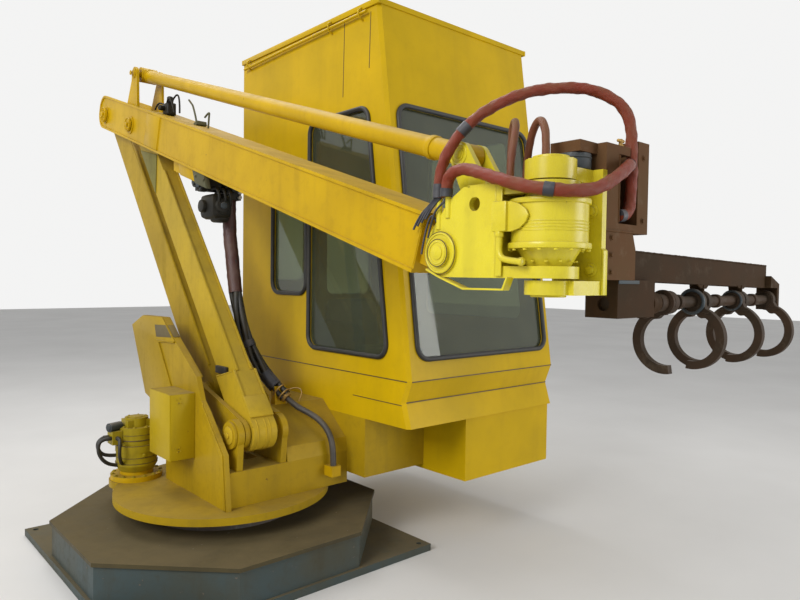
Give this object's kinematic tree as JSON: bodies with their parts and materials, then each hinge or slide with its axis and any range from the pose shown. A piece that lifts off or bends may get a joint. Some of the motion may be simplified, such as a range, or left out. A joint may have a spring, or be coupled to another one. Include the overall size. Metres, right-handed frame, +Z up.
{
  "type": "heavy duty manipulator with cab",
  "caption": "Floor-mounted slewing manipulator with an operator's cab, a parallel-link arm, a level-keeping wrist and a turning claw gripper.",
  "frame": {"origin": "the slew axis at floor level", "axes": "+Z up along the slew axis, the boom points along -Y, and the cab stands on the +X side of the arm"},
  "size_m": [2.78, 4.3792, 3.2],
  "materials": {
    "base_blue": "worn gloss paint",
    "deck_steel": "dusty worn plate",
    "bearing_steel": "greasy machined steel",
    "machine_yellow": "dusty gloss paint",
    "box_yellow": "gloss paint",
    "cab_yellow": "gloss paint",
    "wrist_yellow": "fresh gloss paint",
    "floor_steel": "matt plate",
    "cab_glass": "tinted glass",
    "seal_rubber": "matt rubber",
    "seat_base": "satin paint",
    "seat_fabric": "woven cloth",
    "black_hose": "matt rubber",
    "valve_black": "oily black",
    "red_sleeve": "dusty woven sleeve",
    "gripper_brown": "dull red-brown paint",
    "claw_steel": "dark burnt steel"
  },
  "bodies": {
    "base": {"base_plate": "base_blue", "base_housing": "base_blue", "deck_plate": "deck_steel", "slewing_ring": "bearing_steel"},
    "turntable": {"turntable_plate": "machine_yellow", "turntable_frame": "machine_yellow", "cab_bridge": "machine_yellow", "slew_housing": "machine_yellow", "slew_drive": "machine_yellow", "near_cheek": "machine_yellow", "junction_box": "box_yellow", "pedestal_near": "machine_yellow", "pedestal_far": "machine_yellow", "cab_wall_near": "cab_yellow", "cab_wall_far": "cab_yellow", "cab_wall_front": "cab_yellow", "cab_wall_rear": "cab_yellow", "cab_door": "cab_yellow", "cab_roof": "cab_yellow", "cab_floor": "floor_steel", "cab_glass": "cab_glass", "window_seals": "seal_rubber", "lower_cabinet": "cab_yellow", "cab_support": "machine_yellow", "seat_pedestal": "seat_base", "seat_bracket": "seat_base", "seat_cushion": "seat_fabric", "seat_back": "seat_fabric", "control_console": "seat_base", "hose_bundle": "black_hose", "hose_drop": "black_hose", "hose_clamps": "machine_yellow"},
    "lower_arm": {"lower_arm": "machine_yellow", "shoulder_shaft": "machine_yellow", "elbow_pin": "machine_yellow"},
    "levelling_lever": {"levelling_lever": "machine_yellow"},
    "boom": {"boom_box": "machine_yellow", "boom_tail": "machine_yellow", "valve_block": "valve_black"},
    "crank": {"crank": "machine_yellow"},
    "rear_pin": {"tail_pin": "machine_yellow"},
    "rear_link": {"rear_link": "machine_yellow"},
    "levelling_bar": {"levelling_bar": "machine_yellow"},
    "tie_rod": {"tie_rod": "machine_yellow"},
    "wrist_bracket": {"wrist_bracket": "wrist_yellow", "wrist_drum": "wrist_yellow", "hose_long": "red_sleeve", "hose_short": "red_sleeve", "hose_loop_back": "red_sleeve", "hose_loop_front": "red_sleeve"},
    "gripper": {"yoke": "wrist_yellow", "gripper_frame": "gripper_brown", "gripper_beam": "gripper_brown", "claw_drive": "gripper_brown"},
    "claws_back": {"claws_back": "claw_steel", "claw_shaft": "claw_steel"},
    "claws_front": {"claws_front": "claw_steel"}
  },
  "joints": [
    {"name": "slew", "type": "hinge", "parent": "base", "child": "turntable", "pos_m": [0, 0, 0.33], "axis": [0, 0, 1], "range_deg": [-170, 170]},
    {"name": "shoulder", "type": "hinge", "parent": "turntable", "child": "lower_arm", "pos_m": [0, -0.38, 0.746], "axis": [1, 0, 0], "range_deg": [-5, 45], "deforming": ["hose_bundle"]},
    {"name": "lever_level", "type": "hinge", "parent": "lower_arm", "child": "levelling_lever", "pos_m": [0, 1.225, 2.678], "axis": [1, 0, 0], "range_deg": [-45, 5]},
    {"name": "elbow", "type": "hinge", "parent": "levelling_lever", "child": "boom", "pos_m": [0, 1.225, 2.678], "axis": [1, 0, 0], "range_deg": [-38, 9], "deforming": ["hose_bundle"]},
    {"name": "crank_turn", "type": "hinge", "parent": "turntable", "child": "crank", "pos_m": [0, -0.38, 0.746], "axis": [1, 0, 0], "range_deg": [-38, 9]},
    {"name": "tail_turn", "type": "hinge", "parent": "boom", "child": "rear_pin", "pos_m": [0, 1.73519, 2.83567], "axis": [1, 0, 0], "range_deg": [-9, 38]},
    {"name": "link_turn", "type": "hinge", "parent": "rear_pin", "child": "rear_link", "pos_m": [0, 1.73519, 2.83567], "axis": [1, 0, 0], "range_deg": [-5, 45]},
    {"name": "level_bar_turn", "type": "hinge", "parent": "turntable", "child": "levelling_bar", "pos_m": [0, -0.09911, 0.83281], "axis": [1, 0, 0], "range_deg": [-5, 45]},
    {"name": "tie_rod_turn", "type": "hinge", "parent": "levelling_lever", "child": "tie_rod", "pos_m": [0, 1.205, 3.043], "axis": [1, 0, 0], "range_deg": [-38, 9]},
    {"name": "wrist_level", "type": "hinge", "parent": "boom", "child": "wrist_bracket", "pos_m": [0, -1.93, 1.703], "axis": [1, 0, 0], "range_deg": [-9, 38]},
    {"name": "wrist_yaw", "type": "hinge", "parent": "wrist_bracket", "child": "gripper", "pos_m": [0, -2.315, 1.8], "axis": [0, 0, 1], "range_deg": [-135, 12], "deforming": ["hose_long", "hose_short", "hose_loop_back"]},
    {"name": "claw_open", "type": "hinge", "parent": "gripper", "child": "claws_back", "pos_m": [1.2, -2.35, 1.524], "axis": [1, 0, 0], "range_deg": [0, 45]},
    {"name": "claw_open_front", "type": "hinge", "parent": "gripper", "child": "claws_front", "pos_m": [1.2, -2.35, 1.524], "axis": [1, 0, 0], "range_deg": [-45, 0]}
  ],
  "couplings": [
    {"joint": "lever_level", "follows": "shoulder", "ratio": -1},
    {"joint": "crank_turn", "follows": "elbow", "ratio": 1},
    {"joint": "tail_turn", "follows": "elbow", "ratio": -1},
    {"joint": "link_turn", "follows": "shoulder", "ratio": 1},
    {"joint": "level_bar_turn", "follows": "shoulder", "ratio": 1},
    {"joint": "tie_rod_turn", "follows": "elbow", "ratio": 1},
    {"joint": "wrist_level", "follows": "elbow", "ratio": -1},
    {"joint": "claw_open_front", "follows": "claw_open", "ratio": -1}
  ]
}
